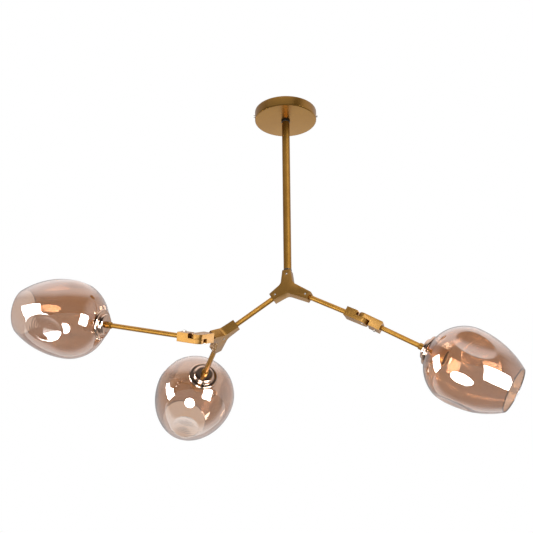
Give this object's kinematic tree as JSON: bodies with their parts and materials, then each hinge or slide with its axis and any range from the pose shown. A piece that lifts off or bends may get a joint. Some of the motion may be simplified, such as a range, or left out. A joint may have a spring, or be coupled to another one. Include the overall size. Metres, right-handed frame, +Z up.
{
  "type": "ceiling light",
  "caption": "Branching ceiling light: a round canopy and rod carry two flat hubs, thin jointed brass arms and dented smoked glass shades on stepped caps.",
  "frame": {"origin": "middle of the canopy's rim, on the ceiling and on the down rod's axis", "axes": "+Z up into the ceiling, +X along the mounting bracket toward the right-hand lamp, +Y away from the viewer"},
  "size_m": [0.9701, 0.4984, 0.6807],
  "materials": {
    "satin_brass": "satin, fine brushed",
    "polished_cap": "polished, dark rose gold",
    "socket_shell": "gold anodised",
    "bright_screws": "polished",
    "plated_steel": "zinc plated",
    "black_paint": "gloss black",
    "black_rubber": "matt",
    "terminal_plastic": "matt, off white",
    "smoked_glass": "clear, smoked rose brown"
  },
  "bodies": {
    "ceiling": {"mounting_bracket": "plated_steel", "canopy": "satin_brass", "canopy_side_screws": "bright_screws", "canopy_nipple": "plated_steel", "nipple_nuts": "plated_steel", "terminal_block": "terminal_plastic", "rod_top_washer": "black_paint", "down_rod": "satin_brass", "rod_bottom_washer": "black_paint", "swivel_stem": "satin_brass"},
    "main_hub": {"main_hub": "satin_brass", "main_hub_set_screws": "bright_screws", "main_hub_back_screw": "bright_screws"},
    "right_arm": {"right_inner_arm": "satin_brass", "right_elbow_inner_half": "satin_brass", "right_elbow_inner_screw": "bright_screws", "right_elbow_pivot_nut": "bright_screws"},
    "right_lamp": {"right_elbow_outer_half": "satin_brass", "right_elbow_outer_screw": "bright_screws", "right_elbow_pivot_screw": "bright_screws", "right_outer_arm": "satin_brass", "right_collar": "satin_brass", "right_collar_screw": "bright_screws", "right_cap": "polished_cap", "right_gasket": "black_rubber", "right_socket": "socket_shell", "right_ring_nut": "satin_brass", "right_shade": "smoked_glass"},
    "left_arm": {"left_inner_arm": "satin_brass", "branch_hub": "satin_brass", "branch_hub_set_screws": "bright_screws", "branch_hub_back_screw": "bright_screws"},
    "lower_lamp": {"lower_arm": "satin_brass", "lower_collar": "satin_brass", "lower_collar_screw": "bright_screws", "lower_cap": "polished_cap", "lower_gasket": "black_rubber", "lower_socket": "socket_shell", "lower_ring_nut": "satin_brass", "lower_shade": "smoked_glass"},
    "left_elbow": {"left_elbow_nipple": "satin_brass", "left_elbow_inner_half": "satin_brass", "left_elbow_inner_screw": "bright_screws", "left_elbow_pivot_nut": "bright_screws"},
    "left_lamp": {"left_elbow_outer_half": "satin_brass", "left_elbow_outer_screw": "bright_screws", "left_elbow_pivot_screw": "bright_screws", "left_outer_arm": "satin_brass", "left_collar": "satin_brass", "left_collar_screw": "bright_screws", "left_cap": "polished_cap", "left_gasket": "black_rubber", "left_socket": "socket_shell", "left_ring_nut": "satin_brass", "left_shade": "smoked_glass"}
  },
  "joints": [
    {"name": "hub_swivel", "type": "hinge", "parent": "ceiling", "child": "main_hub", "pos_m": [0, 0, -0.393], "axis": [0, 0, 1], "range_deg": [-170, 170]},
    {"name": "right_arm_twist", "type": "hinge", "parent": "main_hub", "child": "right_arm", "pos_m": [0, 0, -0.393], "axis": [0.8196, -0.235, -0.5225], "range_deg": [-170, 170]},
    {"name": "right_elbow_fold", "type": "hinge", "parent": "right_arm", "child": "right_lamp", "pos_m": [0.14138, -0.04054, -0.48313], "axis": [0.4829, -0.2074, 0.8508], "range_deg": [-90, 60]},
    {"name": "left_arm_twist", "type": "hinge", "parent": "main_hub", "child": "left_arm", "pos_m": [0, 0, -0.393], "axis": [-0.8196, 0.235, -0.5225], "range_deg": [-45, 45]},
    {"name": "lower_arm_twist", "type": "hinge", "parent": "left_arm", "child": "lower_lamp", "pos_m": [-0.12704, 0.03643, -0.47399], "axis": [-0.2386, 0.9693, -0.0586], "range_deg": [-170, 170]},
    {"name": "left_elbow_twist", "type": "hinge", "parent": "left_arm", "child": "left_elbow", "pos_m": [-0.12704, 0.03643, -0.47399], "axis": [-0.556, -0.7027, -0.444], "range_deg": [-60, 60]},
    {"name": "left_elbow_fold", "type": "hinge", "parent": "left_elbow", "child": "left_lamp", "pos_m": [-0.17096, -0.01909, -0.50906], "axis": [-0.0854, 0.5796, -0.8104], "range_deg": [-110, 6]}
  ]
}
